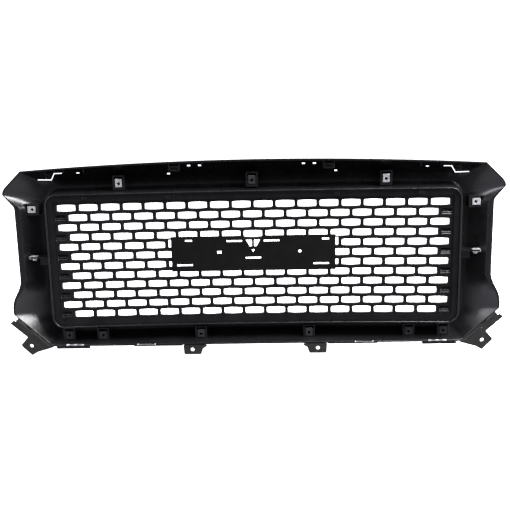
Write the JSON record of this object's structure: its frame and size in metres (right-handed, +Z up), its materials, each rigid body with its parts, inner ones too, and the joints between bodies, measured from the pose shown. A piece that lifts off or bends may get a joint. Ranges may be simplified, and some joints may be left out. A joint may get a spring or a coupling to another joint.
{
  "type": "front grille",
  "caption": "Wide black vehicle front grille: hollow moulded surround, brick-pattern mesh insert, central emblem plate, sheet nuts and bolt-on brackets.",
  "frame": {"origin": "on the rear face of the emblem plate, in the plane of symmetry of the surround", "axes": "+X right as seen from behind the grille, +Y to the vehicle's front, +Z up"},
  "size_m": [1.1038, 0.076, 0.4352],
  "materials": {
    "moulded_plastic": "semi-gloss black, as moulded, with a fine flow texture",
    "satin_plastic": "satin black, finely grained",
    "bracket": "dark grey glass-filled plastic, dull",
    "steel_nut": "zinc-plated sheet steel with a light grain"
  },
  "bodies": {
    "root": {"surround_shell": "moulded_plastic", "mesh_insert": "moulded_plastic", "emblem_plate": "satin_plastic", "top_nut_center": "steel_nut", "top_nut_right": "steel_nut", "top_nut_left": "steel_nut", "side_nut_right": "steel_nut", "side_nut_left": "steel_nut", "lower_nut_outer_right": "steel_nut", "lower_nut_outer_left": "steel_nut", "lower_nut_middle_right": "steel_nut", "lower_nut_middle_left": "steel_nut", "lower_nut_inner_right": "steel_nut", "lower_nut_inner_left": "steel_nut", "side_clip_right": "steel_nut", "side_clip_left": "steel_nut", "lower_tab_right": "bracket", "lower_tab_left": "bracket", "lower_tab_screw_right": "steel_nut", "lower_tab_screw_left": "steel_nut", "corner_bracket_right": "bracket", "corner_bracket_left": "bracket", "corner_screw_right": "steel_nut", "corner_screw_left": "steel_nut", "inner_retainer_right": "satin_plastic", "inner_retainer_left": "satin_plastic", "outer_retainer_right": "satin_plastic", "outer_retainer_left": "satin_plastic", "outer_lip_clip_right": "steel_nut", "outer_lip_clip_left": "steel_nut", "inner_lip_clip_right": "steel_nut", "inner_lip_clip_left": "steel_nut"}
  },
  "joints": []
}
